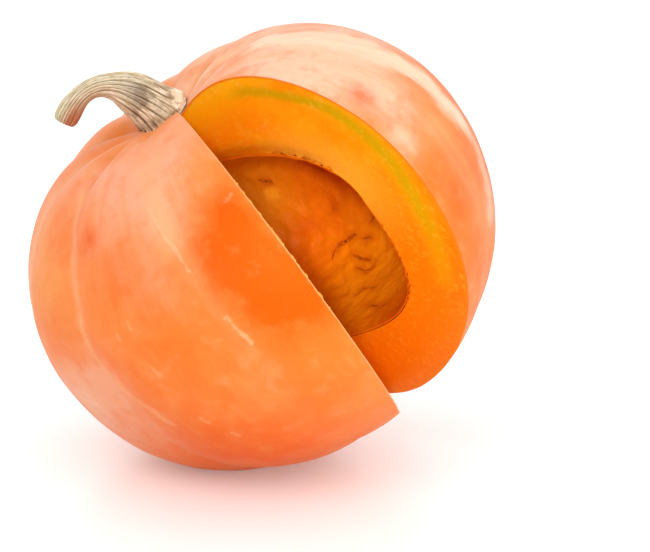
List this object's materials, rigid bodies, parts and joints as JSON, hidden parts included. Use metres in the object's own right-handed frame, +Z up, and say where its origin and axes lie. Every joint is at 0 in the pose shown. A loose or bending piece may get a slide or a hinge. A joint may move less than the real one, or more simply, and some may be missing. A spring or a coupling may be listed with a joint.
{
  "type": "cut squash",
  "caption": "Round ribbed orange squash leaning on a small flat spot, with a wedge cut out that opens its seed hollow and a curved corky stem.",
  "frame": {"origin": "middle of the flat spot under the squash that it rests on", "axes": "+Z up, +Y away from the viewer of the picture, +X to the right; the stem leans towards -X and the wedge is cut out towards -Y and +X"},
  "size_m": [0.1945, 0.1996, 0.1803],
  "materials": {
    "rind": "smooth waxy orange rind with pale streaks",
    "flesh": "moist fine-grained cut flesh",
    "pulp": "moist stringy pulp",
    "cork": "dry ridged cork"
  },
  "bodies": {
    "root": {"squash": "rind", "pulp": "pulp", "stem": "cork"}
  },
  "joints": []
}
